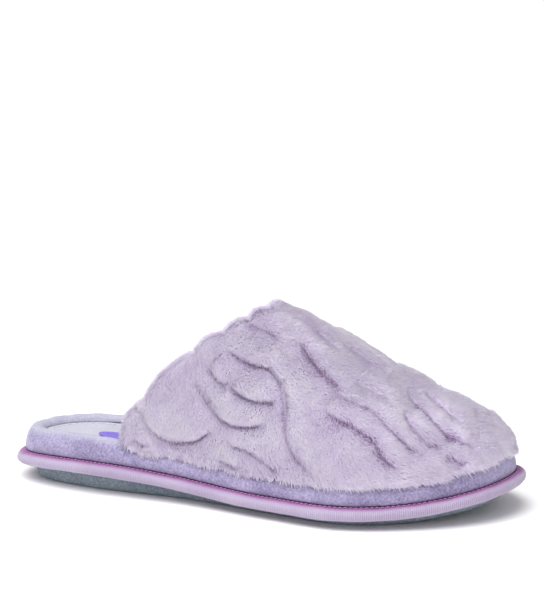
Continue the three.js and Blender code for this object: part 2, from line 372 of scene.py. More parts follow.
def noise(tree, place, scale, detail=3.0, roughness=0.55):
    """Noise 0..1 at the piece's own place, scale in waves per metre."""
    return tree.node("ShaderNodeTexNoise", {}, {"Vector": place, "Scale": scale, "Detail": detail,
                                                "Roughness": roughness})


def ramp(tree, value, *stops):
    """Colours along a value."""
    return tree.node("ShaderNodeValToRGB", {"stops": stops}, {"Fac": value})


def finish(name, colour, roughness=0.9, bump=None, **constants):
    """A material. colour and bump are a constant or a function of (tree, place)."""
    material = bpy.data.materials.new(name)
    material.use_nodes = True
    tree = Tree(material.node_tree)
    place = tree.node("ShaderNodeTexCoord", output=3) if callable(colour) or bump else None
    inputs = {"Base Color": colour(tree, place) if callable(colour) else (*colour, 1),
              "Roughness": roughness(tree, place) if callable(roughness) else roughness}
    if bump:
        distance, height = bump
        inputs["Normal"] = tree.node("ShaderNodeBump", {}, {
            "Height": height(tree, place), "Distance": distance * MM, "Strength": 1.0})
    inputs.update({key.replace("_", " "): value for key, value in constants.items()})
    surface = tree.node("ShaderNodeBsdfPrincipled", {}, inputs)
    tree.node("ShaderNodeOutputMaterial", {}, {"Surface": surface})
    material.diffuse_color = (0.7, 0.6, 0.8, 1)
    return material


print("one helper makes every finish")

# %% [markdown]
# ## Finishes
# Velour and brushed lining are mottled: their short pile leans this way and that, so patches
# look paler or deeper. Two noises, one broad and one as fine as the pile, give that. Their
# pale edges come from sheen, which is how cloth brightens where it turns away.

# %% Colours, and the cloth finishes


def blend_colours(tree, share, low, high):
    """A mix of two colours, each a constant or a value of the tree."""
    low, high = (c if isinstance(c, Value) else (*c, 1) for c in (low, high))
    return tree.node("ShaderNodeMix", {"data_type": "RGBA"}, {0: share, 6: low, 7: high}, output=2)


def pile_colour(low, high, fine, broad):
    """Mottled pile: fine tufts in broad soft patches."""
    def colour(tree, place):
        patches = noise(tree, place, broad, 2)
        tufts = noise(tree, place, fine, 2, 0.7)
        return blend_colours(tree, (patches * 0.9 + tufts * 1.5) - 0.7, low, high)
    return colour


def fine_pile(scale):
    """Height of short pile, for a bump."""
    return lambda tree, place: noise(tree, place, scale, 3, 0.7) + noise(tree, place, scale * 0.3, 2) * 0.5


def velour_colour(tree, place):
    """Lavender on the side, and painted paler on the top and inside of the rim: painted light, as from a lamp
    overhead.
    """
    side = pile_colour((0.11, 0.085, 0.20), (0.46, 0.41, 0.61), 900, 70)(tree, place)
    top = pile_colour((0.34, 0.33, 0.45), (0.54, 0.54, 0.64), 1100, 60)(tree, place)
    brushed = tree.node("ShaderNodeAttribute", {"attribute_name": "brushed"}, output=2)
    return blend_colours(tree, brushed, side, top)


velour = finish("velour_lavender", velour_colour, 0.88,
                (0.5, fine_pile(1000)), Sheen_Weight=0.55, Sheen_Roughness=0.45, Sheen_Tint=(0.9, 0.9, 1, 1))
sock_cloth = finish("brushed_lining", pile_colour((0.40, 0.40, 0.49), (0.55, 0.55, 0.64), 900, 60), 0.92,
                    (0.35, fine_pile(900)), Sheen_Weight=0.35, Sheen_Roughness=0.5)
skin_cloth = finish("plush_ground", pile_colour((0.66, 0.57, 0.74), (0.80, 0.73, 0.87), 700, 50), 0.95,
                    (0.5, fine_pile(700)))


# %% Tape, rubber, foam, board, label and thread


def tape_colour(tree, place):
    """Pink-lilac tape, with painted shade between its ribs and a dark magenta painted shade where it tucks
    under the sidewall.
    """
    worn = noise(tree, place, 45, 3) * 0.7 + noise(tree, place, 1500, 2) * 0.6
    hollow = tree.node("ShaderNodeAttribute", {"attribute_name": "hollow"}, output=2)
    crease = tree.node("ShaderNodeAttribute", {"attribute_name": "crease"}, output=2)
    cloth = blend_colours(tree, worn - hollow * 0.6, (0.285, 0.215, 0.35), (0.50, 0.44, 0.57))
    return blend_colours(tree, crease, cloth, (0.28, 0.09, 0.28))


def rubber_colour(tree, place):
    """Slate rubber with the pale bloom and dark pores of a foamed moulding."""
    pores = tree.node("ShaderNodeTexVoronoi", {}, {"Vector": place, "Scale": 900.0})
    return blend_colours(tree, pores * 0.8 + noise(tree, place, 60, 3) * 0.7 - 0.15,
                         (0.06, 0.085, 0.115), (0.27, 0.32, 0.37))


def pebbles(tree, place):
    return tree.node("ShaderNodeTexVoronoi", {}, {"Vector": place, "Scale": 1100.0})


tape = finish("binding_tape", tape_colour, 0.68, (0.1, fine_pile(2500)), Sheen_Weight=0.25)
rubber = finish("outsole_rubber", rubber_colour, lambda tree, place: noise(tree, place, 80, 2) * 0.2 + 0.7,
                (0.35, pebbles))
foam = finish("foam", pile_colour((0.66, 0.65, 0.62), (0.84, 0.83, 0.8), 500, 40), 0.95, (0.3, pebbles))
board = finish("fibre_board", pile_colour((0.2, 0.17, 0.13), (0.36, 0.32, 0.26), 600, 90), 0.9)
label = finish("label_violet", pile_colour((0.16, 0.1, 0.52), (0.26, 0.19, 0.68), 900, 120), 0.55)
# Dark magenta thread. Along the tape's top it also stands in for the shade where the sidewall meets the tape.
thread = finish("thread", (0.36, 0.12, 0.36), 0.6, Sheen_Weight=0.3)
print("finishes:", len(bpy.data.materials))

# %% [markdown]
# ## Outsole
# The outsole is one moulding of foamed rubber: a wedge with a rounded lower edge and a tread.
# Its body is a layer like the others. The tread repeats, so a small Geometry Nodes tree sets
# one lug on every point of a grid that is cut to the sole's shape. Cutting grooves by boolean
# would give the same look, with far less tidy faces.

# %% The wedge, with a recessed field for the tread
OUTSOLE_INSET = 9.9
TREAD = 1.1


def wedge(x, height):
    """Heights 0..1 are shares of the wedge; -1 is the recessed field."""
    top = band_bottom(x) - 0.3
    low = np.minimum(TREAD, (top - ground(x)) * 0.4)
    return np.where(np.asarray(height) < 0, ground(x) + low, ground(x) + np.abs(height) * (top - ground(x)))


outsole = add_mesh("rubber_outsole", *layer([
    (OUTSOLE_INSET + 8.2, -1), (OUTSOLE_INSET + 6.6, -1), (OUTSOLE_INSET + 6.2, 0.01),
    (OUTSOLE_INSET + 5.8, 0), (OUTSOLE_INSET + 2.9, 0), (OUTSOLE_INSET + 1.6, 0.04),
    (OUTSOLE_INSET + 0.7, 0.14), (OUTSOLE_INSET + 0.2, 0.3), (OUTSOLE_INSET, 0.5),
    (OUTSOLE_INSET, 0.9), (OUTSOLE_INSET + 0.3, 1),
], wedge, count=300), rubber)
settle(outsole, "outsole_rubber", "outsole")

# %% Geometry Nodes: a copy on each point


def geometry_tree(name, inputs):
    """A new Geometry Nodes tree with named inputs of (type, default)."""
    group = bpy.data.node_groups.new(name, "GeometryNodeTree")
    group.interface.new_socket("Geometry", in_out="INPUT", socket_type="NodeSocketGeometry")
    group.interface.new_socket("Geometry", in_out="OUTPUT", socket_type="NodeSocketGeometry")
    tree = Tree(group)
    for key, (kind, default) in inputs.items():
        socket = group.interface.new_socket(key, in_out="INPUT", socket_type=kind)
        if default is not None:
            socket.default_value = default
    source = group.nodes.new("NodeGroupInput")
    sockets = {socket.name: Value(tree, socket) for socket in source.outputs if socket.name}
    return group, tree, sockets


def finish_tree(tree, geometry, material):
    """Ends a tree: real geometry with a material, which is what the export can keep."""
    real = tree.node("GeometryNodeRealizeInstances", {}, {0: geometry})
    painted = tree.node("GeometryNodeSetMaterial", {}, {"Geometry": real, "Material": material})
    tree.node("NodeGroupOutput", {}, {0: painted})


def run_tree(piece, group, **values):
    """Runs a tree on a piece with its inputs set by identifier, and keeps the plain mesh."""
    modifier = piece.modifiers.new("make", "NODES")
    modifier.node_group = group
    for item in group.interface.items_tree:
        key = item.name.lower().replace(" ", "_")
        if item.in_out == "INPUT" and key in values:
            modifier[item.identifier] = values[key]
    return settled_mesh(piece)


def lug_tree():
    """Hexagonal lugs with chamfered tops, one on each point."""
    group, tree, given = geometry_tree("tread_lugs", {
        "Lug Radius": ("NodeSocketFloat", 2.6 * MM), "Lug Height": ("NodeSocketFloat", TREAD * MM),
        "Chamfer": ("NodeSocketFloat", 0.5 * MM)})
    lug = tree.node("GeometryNodeMeshCone", {"fill_type": "NGON"}, {
        "Vertices": 6, "Side Segments": 1, "Radius Top": given["Lug Radius"],
        "Radius Bottom": given["Lug Radius"] - given["Chamfer"], "Depth": given["Lug Height"]})
    copies = tree.node("GeometryNodeInstanceOnPoints", {}, {"Points": given["Geometry"], "Instance": lug})
    finish_tree(tree, copies, rubber)
    return group


rows = []
for row, x in enumerate(np.arange(-118, 122, 5.6)):
    for y in np.arange(-44 + 3.2 * (row % 2), 48, 6.4):
        rows.append((x, y))
field = np.array(rows)
fence = inset_edge(even_turns(400), OUTSOLE_INSET + 10.4)


def within(x, y):
    """Whether a place lies inside the fence: a ray from it crosses the fence an odd number of times."""
    a, b = fence, np.roll(fence, -1, axis=0)
    slope = (b[:, 0] - a[:, 0]) * (y - a[:, 1]) / (b[:, 1] - a[:, 1] + 1e-9)
    crosses = ((a[:, 1] > y) != (b[:, 1] > y)) & (x < slope + a[:, 0])
    return crosses.sum() % 2 == 1


field = field[np.array([within(x, y) for x, y in field])]
lugs = add_mesh("tread_lugs", np.column_stack([field, ground(field[:, 0])]), [], None, closed=False)
run_tree(lugs, lug_tree())
settle(lugs, "outsole_rubber")
print("tread:", len(field), "lugs")

# %% [markdown]
# ## Midsole and its bound edge
# The midsole is a thin sheet of foam. A folded ribbed tape goes round its edge and is stitched
# through, which gives the slipper its pink-lilac lip. Ribs could be a bump, but the lip is the
# piece that catches the light, so they are real: the tape is a swept section whose stations
# go in and out, four stations to a rib. The tape's two ends lap at the waist on the inner side.

# %% Midsole foam


def over_band(x, height):
    return band_bottom(x) + height


WALL = 1.5
midsole = add_mesh("midsole_sheet", *layer([
    (11.6, 0), (11.6, WALL), (3.3, WALL), (2.2, 2.1), (1.6, 3), (2.2, 3.9), (3.3, BAND - WALL),
    (11.6, BAND - WALL), (11.6, BAND),
], over_band), foam)
settle(midsole, "foam", "midsole_foam")

# %% Ribbed tape
RIB_PITCH = 1.0
RIB_HEIGHT = 0.2
ribs = round(EDGE_RUN / RIB_PITCH)
TAPE_SECTION = np.array([
    (11, 0.05), (5, 0), (2.6, 0.1), (1.2, 0.65), (0.45, 1.5), (0.12, 2.5), (0.12, 3.5), (0.45, 4.5),
    (1.2, 5.35), (2.6, 5.9), (5, 5.95), (11, 5.95), (11, 4.8), (2.8, 4.8), (1.4, 3), (2.8, 1.2), (11, 1.2),
])
OUTER_LINE = 12


def ribbed_tape():
    """The folded tape, ribbed on the outside, with a lap joint at the inner waist."""
    rows = sweep(TAPE_SECTION, over_band, ribs * 4)
    rib = np.array([-0.6, 0.6, 1, 0.6])[np.arange(ribs * 4) % 4] * RIB_HEIGHT
    step = np.roll(TAPE_SECTION, -1, axis=0) - np.roll(TAPE_SECTION, 1, axis=0)
    out = np.stack([-step[:, 1], -step[:, 0]], 1)[:OUTER_LINE]
    out /= np.linalg.norm(out, axis=1)[:, None]
    turns = even_turns(ribs * 4)
    lap = ease(turns, 0.86, 0.8605) * (1 - ease(turns, 0.885, 0.8855)) * 0.45
    wave = 0.12 * np.sin(turns * 157) * np.sin(turns * 61)
    rise = rib + lap + wave
    away = sole_edge(turns) - inset_edge(turns, 1)
    rows[:, :OUTER_LINE, :2] -= away[:, None] * (out[:, 0] * rise[:, None])[..., None]
    rows[:, :OUTER_LINE, 2] += out[:, 1] * rise[:, None]
    return rows


tape_rows = ribbed_tape()
binding = add_mesh("ribbed_binding", tape_rows, ring_faces(tape_rows), tape)
# Painted shade: the tape's upper inner face, tucked under the sidewall, is painted dark magenta.
crease = np.interp(np.arange(len(TAPE_SECTION)), [7, 8, 9, 10], [0, 0.15, 0.75, 1])
give_attribute(binding, "crease", "FLOAT", "value", np.tile(crease, ribs * 4))
# Painted shade: each rib's valley is painted darker.
hollow = np.repeat(np.tile([1, 0.3, 0, 0.3], ribs), len(TAPE_SECTION))
give_attribute(binding, "hollow", "FLOAT", "value", hollow)
settle(binding, "binding_tape", "rim_binding")
print("ribs:", ribs)

# %% [markdown]
# ## Stitches
# A run of stitches is one shape repeated along a line. The tree takes a line, cuts it at the
# stitch length and sets one small rounded bar at each cut, turned along the line. Modelling
# them as one swept cord would lose the gaps that make thread read as sewn.

# %% Geometry Nodes: stitches along a line


def stitch_tree():
    group, tree, given = geometry_tree("stitches", {
        "Stitch Length": ("NodeSocketFloat", 3.2 * MM), "Thread Radius": ("NodeSocketFloat", 0.3 * MM)})
    line = tree.node("GeometryNodeMeshToCurve", {}, {"Mesh": given["Geometry"]})
    cut = tree.node("GeometryNodeResampleCurve", {"mode": "LENGTH"}, {
        "Curve": line, "Length": given["Stitch Length"]})
    turned = tree.node("FunctionNodeAlignRotationToVector", {"axis": "X"}, {
        "Vector": tree.node("GeometryNodeInputTangent")})
    size = tree.node("ShaderNodeCombineXYZ", {}, {
        0: given["Stitch Length"] * 0.46, 1: given["Thread Radius"] * 1.25, 2: given["Thread Radius"]})
    bar = tree.node("GeometryNodeMeshUVSphere", {}, {"Segments": 6, "Rings": 5, "Radius": 1.0})
    copies = tree.node("GeometryNodeInstanceOnPoints", {}, {
        "Points": cut, "Instance": bar, "Rotation": turned, "Scale": size})
    finish_tree(tree, copies, thread)
    return group


stitches = stitch_tree()


def stitch_line(name, points, closed, length, radius, *nodes, yarn=None):
    """A run of stitches along points, in mm."""
    count = len(points)
    mesh = bpy.data.meshes.new(name)
    edges = [(k, (k + 1) % count) for k in range(count if closed else count - 1)]
    mesh.from_pydata((np.asarray(points) * MM).tolist(), edges, [])
    piece = bpy.data.objects.new(name, mesh)
    bpy.context.scene.collection.objects.link(piece)
    run_tree(piece, stitches, stitch_length=length * MM, thread_radius=radius * MM)
    if yarn:
        piece.data.materials.clear()
        piece.data.materials.append(yarn)
    piece.data.shade_smooth()
    return settle(piece, "thread", *nodes)


def along_edge(inset, height, level, turns):
    xy = inset_edge(turns, inset)
    return np.column_stack([xy, level(xy[:, 0], height)])


def over_band_top(x, height):
    return band_top(x) + height


# Real binding stitches, run close along the tape's top where it meets the sidewall, so their dark magenta also
# stands in for the shade there.
stitch_line("binding_stitches", along_edge(4.1, 0.2, over_band_top, even_turns(600)), True, 2.4, 0.36,
            "binding_thread")

# %% [markdown]
# ## Board, foams and their padding
# Inside the footbed a fibre board keeps the sole flat, a foam base stands up as the padded
# rim, and a memory foam pad fills the dish. They are hidden in use, but a reusable model
# should come apart the way the real one does, so each is its own closed piece.

# %% The hidden layers
board_piece = add_mesh("stiff_board", *layer([(14.6, 0.3), (13.6, 0.3), (13.4, 0.5), (13.4, 1.3), (13.6, 1.5),
                                              (14.6, 1.5)], over_band_top), board)
settle(board_piece, "board", "insole_board")
footbed = add_mesh("foam_base", *layer([
    (14, 1.9), (6.9, 1.9), (6.3, 2.2), (6.1, 3), (6.2, 4.5), (6.6, 6.1), (7.1, 7.7), (7.7, 9.1),
    (8.2, 10.1), (8.7, 10.8), (9.5, 11.5), (10.2, 11.5), (10.9, 11.1), (11.6, 10.6), (12.2, 9.9),
    (12.6, 9), (12.7, 8.4), (13.1, 6.8), (14.6, 4.4),
], foot_level, across=10, dished=(False, True)), foam)
settle(footbed, "foam", "footbed_foam")
memory = add_mesh("memory_pad", *layer([(15.8, 4.9), (15.5, 5.1), (15.4, 5.5), (15.5, 7.1), (15.8, 7.4),
                                        (16.4, 7.5)], foot_level, across=10, dished=(True, True)), foam)
settle(memory, "foam", "memory_foam_pad")

# %% [markdown]
# ## Velour sidewall
# Velour is wrapped over the padded rim: turned under at the bottom, out round the side, over
# the top and down to the sock lining. The sweep gives it nearly all of its shape. A cloth
# simulation then presses it from inside, held at its inner wall. Held this tightly it moves
# less than a tenth of a millimetre on average, so the effect is slight.

# %% The cover's section, and its simulation
COVER_OUTER = [(13, 0.3), (9, 0.3), (5.7, 0.35), (4.9, 0.8), (4.6, 1.7), (4.5, 3), (4.7, 4.6), (5.05, 6.3),
               (5.6, 8), (6.2, 9.6), (6.9, 11), (7.8, 12.1), (8.9, 12.55), (10.1, 12.65), (11.3, 12.6),
               (12.4, 12), (13.3, 11.2), (13.9, 10.2), (14.3, 9.2), (14.4, 8.8)]
COVER_INNER = [(13.2, 8.8), (12.9, 9.7), (12.3, 10.8), (11.4, 11.5), (10.4, 11.9), (9.4, 12), (8.6, 11.5),
               (8, 10.7), (7.3, 9.5), (6.7, 8), (6.2, 6.3), (5.8, 4.6), (5.6, 3), (5.8, 2), (7, 1.5), (13, 1.5)]


def rim_level(x, height):
    """The cover's level: its rim stays high until the upper's rear corners cover it."""
    return dropping_level(x, height, -68, -52)


cover_rows = sweep(COVER_OUTER + COVER_INNER, rim_level, 260)
turns = even_turns(260)
cover_rows[:, 4:17, 2] += (0.35 * np.sin(turns * 173) * np.sin(turns * 67))[:, None]


def swell(piece, pinned, pressure, cap):
    """Blows a closed cloth up for 20 frames, holds its pinned points and caps the rest."""
    start = np.array([v.co for v in piece.data.vertices])
    held = piece.vertex_groups.new(name="held")
    held.add(pinned, 1.0, "REPLACE")
    cloth = piece.modifiers.new("cloth", "CLOTH")
    cloth.settings.vertex_group_mass = "held"
    cloth.settings.effector_weights.gravity = 0
    cloth.settings.use_pressure = True
    cloth.settings.uniform_pressure_force = pressure
    cloth.settings.mass = 0.002
    cloth.settings.tension_stiffness = 2
    cloth.settings.compression_stiffness = 2
    cloth.settings.bending_stiffness = 0.05
    cloth.settings.quality = 6
    cloth.point_cache.frame_start, cloth.point_cache.frame_end = 1, 20
    for number in range(1, 21):
        bpy.context.scene.frame_set(number)
    settled_mesh(piece)
    bpy.context.scene.frame_set(1)
    moved = np.array([v.co for v in piece.data.vertices]) - start
    length = np.linalg.norm(moved, axis=1)
    moved *= np.minimum(1, cap / np.maximum(length, 1e-9))[:, None]
    piece.data.vertices.foreach_set("co", (start + moved).ravel())
    piece.data.update()
    print(f"{piece.name}: swelled {length.mean() / MM:.2f} mm on average, {length.max() / MM:.2f} at most")


cover = add_mesh("velour_sidewall", cover_rows, ring_faces(cover_rows), velour)
corners = len(COVER_OUTER) + len(COVER_INNER)
still = [k * corners + j for k in range(len(cover_rows)) for j in range(corners)
         if j < 4 or j >= len(COVER_OUTER) - 2]
swell(cover, still, 400.0, 1.0 * MM)
# Painted light: weights that make the top and inner face of the rim paler, as if lit from above.
brushed = ease(np.arange(corners), 8.5, 12.5) * (np.arange(corners) < len(COVER_OUTER) + 4)
give_attribute(cover, "brushed", "FLOAT", "value", np.tile(brushed, len(cover_rows)))
smoother = cover.modifiers.new("smooth", "SUBSURF")
smoother.levels = smoother.render_levels = 1
settled_mesh(cover)
settle(cover, "velour_lavender", "sidewall_cover")

# %% [markdown]
# ## Sock lining and its label
# The sock lining is brushed cloth, dished to the foot and stitched to the rolled cover. A
# plain oval label is bonded in the heel. Both lie on the same dished level as the CAD layers.

# %% Sock lining, its stitches, and the label
sock = add_mesh("sock_lining_cloth", *layer([
    (16, 8), (14.9, 8.05), (14.55, 8.25), (14.5, 8.55), (14.7, 8.85), (15.2, 9), (16, 9),
], foot_level, count=320, across=40, dished=(True, True)), sock_cloth)
settle(sock, "sock_grey_lavender", "sock_lining")


def sides_at(x, inset):
    """Width coordinates of the inset edge's outer and inner side at places along the foot."""
    fine = inset_edge(np.linspace(0, 1, 4001)[:-1], inset)
    outer, inner = fine[:2001], fine[2000:][::-1]
    return (np.interp(x, outer[:, 0], outer[:, 1]), np.interp(x, inner[:, 0], inner[:, 1]))


def sock_top(x, y, height=9.0):
    outer, inner = sides_at(x, 16)
    width = inner - outer
    return foot_level(x, height) - sink(np.clip((y - outer) / width, 0, 1), width)


seam = along_edge(18.6, 9.2, foot_level, even_turns(560))
seam[:, 2] = sock_top(seam[:, 0], seam[:, 1]) + 0.15
pale_thread = finish("pale_thread", (0.62, 0.6, 0.72), 0.6, Sheen_Weight=0.3)
stitch_line("sock_stitches", seam, True, 3.0, 0.26, "sock_thread", yarn=pale_thread)


def label_oval(centre, size, thickness):
    """A crowned oval lying on the dished sock lining."""
    shares = np.array([0.94, 1.0, 1.0, 0.97, 0.9, 0.7, 0.4])
    heights = np.array([0.45, 0.5, 0.85, 1.0, 1.04, 1.06, 1.06]) * thickness + 0.35
    turn = np.linspace(0, 2 * np.pi, 72, endpoint=False)
    rings = []
    for share, height in zip(shares, heights):
        x = centre[0] + size[0] / 2 * share * np.cos(turn)
        y = centre[1] + size[1] / 2 * share * np.sin(turn)
        rings.append(np.column_stack([x, y, sock_top(x, y) + height]))
    rings = np.array(rings)
    caps = [list(range(72))[::-1], list(range(6 * 72, 7 * 72))]
    return rings, [*strip_faces(7, 72, closed=True).tolist(), *caps]


oval_points, oval_faces = label_oval((-67, -1), (36, 15), 0.6)
oval = add_mesh("oval_label", oval_points, oval_faces, label)
settle(oval, "label_violet", "insole_label")

# %% [markdown]
# ## The upper's form
# The upper is one piece of plush over padding, quilted into soft leaf shapes. Its form follows
# a rule, the same as in the CAD: at each place along the foot it is a rounded arch from hem to
# hem, as high as the instep there. It could be sculpted by hand, but the rule keeps it a fixed
# depth inside the CAD shell, and every layer of the upper can use it at its own depth.

# %% A point of the upper
RIDGE = np.array([
    (-62, 121.5), (6, 97.4), (35, 86), (65, 68.6), (90, 55.3), (108, 46.6), (120, 40), (127.5, 33),
])
UPPER_INSET = 5.0
THROAT_REAR = -61.0
THROAT_PEAK = 12.5
ARCH = 2 / 1.95


def ridge(x):
    """Height of the instep line, through its points with a smooth slope."""
    rise = np.diff(RIDGE, axis=0)
    slope = (RIDGE[2:, 1] - RIDGE[:-2, 1]) / (RIDGE[2:, 0] - RIDGE[:-2, 0])
    slope = np.r_[rise[0, 1] / rise[0, 0], slope, rise[-1, 1] / rise[-1, 0]]
    k = np.clip(np.searchsorted(RIDGE[:, 0], x) - 1, 0, len(RIDGE) - 2)
    span, dz = rise[k, 0], rise[k, 1]
    t = np.clip((x - RIDGE[k, 0]) / span, 0, 1)
    bend = (1 - t) * (slope[k] * span - dz) + t * (dz - slope[k + 1] * span)
    return RIDGE[k, 1] + dz * t + t * (1 - t) * bend


def lift_of(around):
    return np.sin(np.pi * np.clip(around, 0, 1)) ** ARCH


def throat_line(around, setback=0.0):
    """Where the upper ends, from its rear corners to the peak over the instep."""
    return THROAT_REAR + (THROAT_PEAK - THROAT_REAR) * lift_of(around) ** 1.25 + setback


def upper_at(x, around, depth):
    """Points at a place x along the foot, turned 0..1 over the arch, at a depth inside."""
    x, around = np.broadcast_arrays(np.asarray(x, float), around)
    lift = lift_of(around)
    swing = np.sign(0.5 - around) * np.abs(np.cos(np.pi * around)) ** ARCH
    outer, inner = sides_at(x, UPPER_INSET + depth)
    hem = foot_level(x, RIM) + HEM_OVER_RIM
    return np.stack([x, (outer + inner) / 2 - (inner - outer) / 2 * swing + 1.7 * lift,
                     hem + (ridge(x) - depth - hem) * lift], -1)


def toe_tip(depth):
    return inset_edge(0.5, UPPER_INSET + depth)[0, 0]


def unit(vectors):
    return vectors / np.maximum(np.linalg.norm(vectors, axis=-1, keepdims=True), 1e-9)


def grid_normals(grid):
    """Outward directions of a grid of points."""
    down = np.gradient(grid, axis=0)
    over = np.gradient(grid, axis=1)
    return unit(np.cross(over, down))


print("instep peak over the floor:", round(float(upper_at(THROAT_PEAK, 0.5, 0)[2]), 1), "mm")

# %% [markdown]
# ## Quilting
# On the outside the plush is pressed into long leaf-shaped lobes. Each line is a shallow fold:
# the pile above it swells out and hangs a little over, and the side below drops away and
# rises slowly again. So a line is stored as points of (place along the foot, turn over the
# arch), and lifts and sinks the skin by its distance to either side.

# %% Quilting lines
CRISP, SOFT = 1.0, 1.8
LINES = [
    (1.0, CRISP, [(-50, 0.08), (-45, 0.05), (-34, 0.03), (-20, 0.04), (-9, 0.07)]),
    (0.9, CRISP, [(-19, 0.16), (-11, 0.12), (-5, 0.10), (6, 0.095), (20, 0.11)]),
    (0.8, CRISP, [(-13, 0.20), (-6, 0.175), (-1, 0.17)]),
    (1.0, CRISP, [(-1, 0.17), (8, 0.16), (25, 0.17)]),
    (0.8, CRISP, [(-5, 0.25), (8, 0.24), (20, 0.24), (28, 0.21), (31, 0.16), (34, 0.09), (45, 0.02)]),
    (0.9, CRISP, [(1, 0.05), (13, 0.05), (22, 0.03), (28, 0.01)]),
    (0.6, CRISP, [(-54, 0.02), (-46, 0.005)]),
    (0.35, CRISP, [(-7, 0.01), (9, 0.005)]),
    (0.6, SOFT, [(1, 0.34), (10, 0.35), (21, 0.34)]),
    (0.8, SOFT, [(29, 0.37), (38, 0.33), (47, 0.30), (56, 0.285)]),
    (0.5, SOFT, [(34, 0.44), (47, 0.41)]),
    (0.6, SOFT, [(59, 0.33), (68, 0.32), (78, 0.30)]),
    (0.8, SOFT, [(50, 0.27), (60, 0.26), (70, 0.25), (78, 0.21), (88, 0.16), (95, 0.12)]),
    (0.9, SOFT, [(48, 0.20), (62, 0.19), (72, 0.165), (80, 0.09), (86, 0.05)]),
    (0.6, SOFT, [(47, 0.46), (60, 0.465), (69, 0.47)]),
    (0.7, SOFT, [(82, 0.29), (87, 0.24), (94, 0.20), (101, 0.17)]),
    (0.9, SOFT, [(80, 0.40), (92, 0.32), (100, 0.26), (108, 0.21), (115, 0.16)]),
    (0.7, SOFT, [(86, 0.44), (97, 0.38), (106, 0.33)]),
    (0.6, SOFT, [(103, 0.14), (112, 0.04)]),
]
SKIN_DEPTH = 2.0


def curve_through(points, step):
    """A smooth curve through points, and shares 0..1 along it."""
    points = np.array(points, float)
    knots = np.r_[0, np.cumsum(np.linalg.norm(np.diff(points * (1, 180), axis=0), axis=1))]
    places = np.linspace(0, knots[-1], max(8, int(knots[-1] / step)))
    slope = np.gradient(points, knots, axis=0)
    k = np.clip(np.searchsorted(knots, places, side="right") - 1, 0, len(knots) - 2)
    span = (knots[k + 1] - knots[k])[:, None]
    t = ((places - knots[k]) / span[:, 0])[:, None]
    curve = ((2 * t ** 3 - 3 * t ** 2 + 1) * points[k] + (t ** 3 - 2 * t ** 2 + t) * span * slope[k]
             + (3 * t ** 2 - 2 * t ** 3) * points[k + 1] + (t ** 3 - t ** 2) * span * slope[k + 1])
    return curve, places / knots[-1]


def quilting_lines():
    """Lines in space: points, directions across them towards the ridge, and strengths."""
    lines = []
    for strength, width, points in LINES:
        for inner_side in (False, True):
            curve, share = curve_through(points, 1.0)
            x, around = curve[:, 0] + (4 if inner_side else 0), curve[:, 1]
            up_by = 0.01
            if inner_side:
                around, up_by = 1 - around, -0.01
            here = upper_at(x, around, SKIN_DEPTH)
            along = unit(np.gradient(here, axis=0))
            up = upper_at(x, around + up_by, SKIN_DEPTH) - here
            up = unit(up - (up * along).sum(1)[:, None] * along)
            fade = np.clip(np.minimum(share, 1 - share) / 0.18, 0, 1) ** 0.7
            lines.append((here, along, up, strength * fade, width))
    return lines


def sculpt(points, normals):
    """Moves points by every quilting line near them. Returns points, height and fold shade."""
    height = np.zeros(len(points))
    slide = np.zeros_like(points)
    fold = np.zeros(len(points))
    for here, along, up, strength, width in quilting_lines():
        low, high = here.min(0) - 20, here.max(0) + 20
        near = np.nonzero(((points > low) & (points < high)).all(1))[0]
        if not len(near):
            continue
        away = points[near][:, None] - here[None]
        nearest = (away ** 2).sum(2).argmin(1)
        away = away[np.arange(len(near)), nearest]
        side = (away * up[nearest]).sum(1)
        past = (away * along[nearest]).sum(1)
        power = strength[nearest] * np.exp(-(past / 2.5) ** 2)
        lobe = ease(side, -0.4 * width, 2.6 * width) * np.exp(-(np.maximum(side / width - 2.6, 0) / 6) ** 2)
        valley = ease(-side, -0.6, 0.6) * np.exp(-(np.maximum(-side - 0.6, 0) / (4.5 * width)) ** 1.4)
        height[near] += power * (2.1 * lobe - 2.7 / width ** 0.5 * valley)
        slide[near] -= (power * 1.1 * np.exp(-((side - 1.4) / 1.8) ** 2))[:, None] * up[nearest]
        fold[near] = np.maximum(fold[near], power / width * np.exp(-(np.abs(side + 0.7) / (1.5 * width)) ** 2))
    height = 2.3 * np.tanh(np.maximum(height, 0) / 2.3) + np.minimum(height, 0)
    height = np.maximum(height, -3.2)
    return points + slide + normals * height[:, None], height, fold


print("quilting lines on each side:", len(LINES))

# %% [markdown]
# ## The plush skin
# The knitted ground of the plush is one grid: from the toe back to the opening, round the
# padded edge of the opening and a short way in, with its hem tucked over the rim on both
# sides. Fur could hide a coarse skin, but light passes between the tufts, so it is sculpted
# to the millimetre and carries two attributes for the pile: where it leans and how pale it is.

# %% The skin's grid
TOE_ROWS = 250
ARCH_COLUMNS = 230
ROLL_OUT = 3.4
ROLL_IN = 5.4
SETBACK = 3.4
EDGE_LOBE = 3.2
EDGE_NOTCHES = np.array([0, 0.08, 0.20, 0.273, 0.35, 0.43, 0.57])
SQUARENESS = 0.6
FACING_REACH = 14.0


def hem_height(x):
    """Height of the hem over the bound edge. It climbs at the rear corners and at the toe."""
    height = np.interp(x, [-62, -59, -57, -53, -50, -45, -30, 100, 114, 125, 130],
                       [12.6, 12.3, 10.4, 9.2, 8.4, 8.5, 9.3, 9.4, 11.3, 11.2, 12.4])
    return band_top(x) + height


def edge_lobes(around):
    """Swelling 0..1 of the opening's edge between the quilting lines that reach it."""
    place = np.minimum(around, 1 - around)
    k = np.clip(np.searchsorted(EDGE_NOTCHES, place, side="right") - 1, 0, len(EDGE_NOTCHES) - 2)
    share = (place - EDGE_NOTCHES[k]) / (EDGE_NOTCHES[k + 1] - EDGE_NOTCHES[k])
    return np.clip(np.sin(np.pi * share), 0, 1) ** 0.8


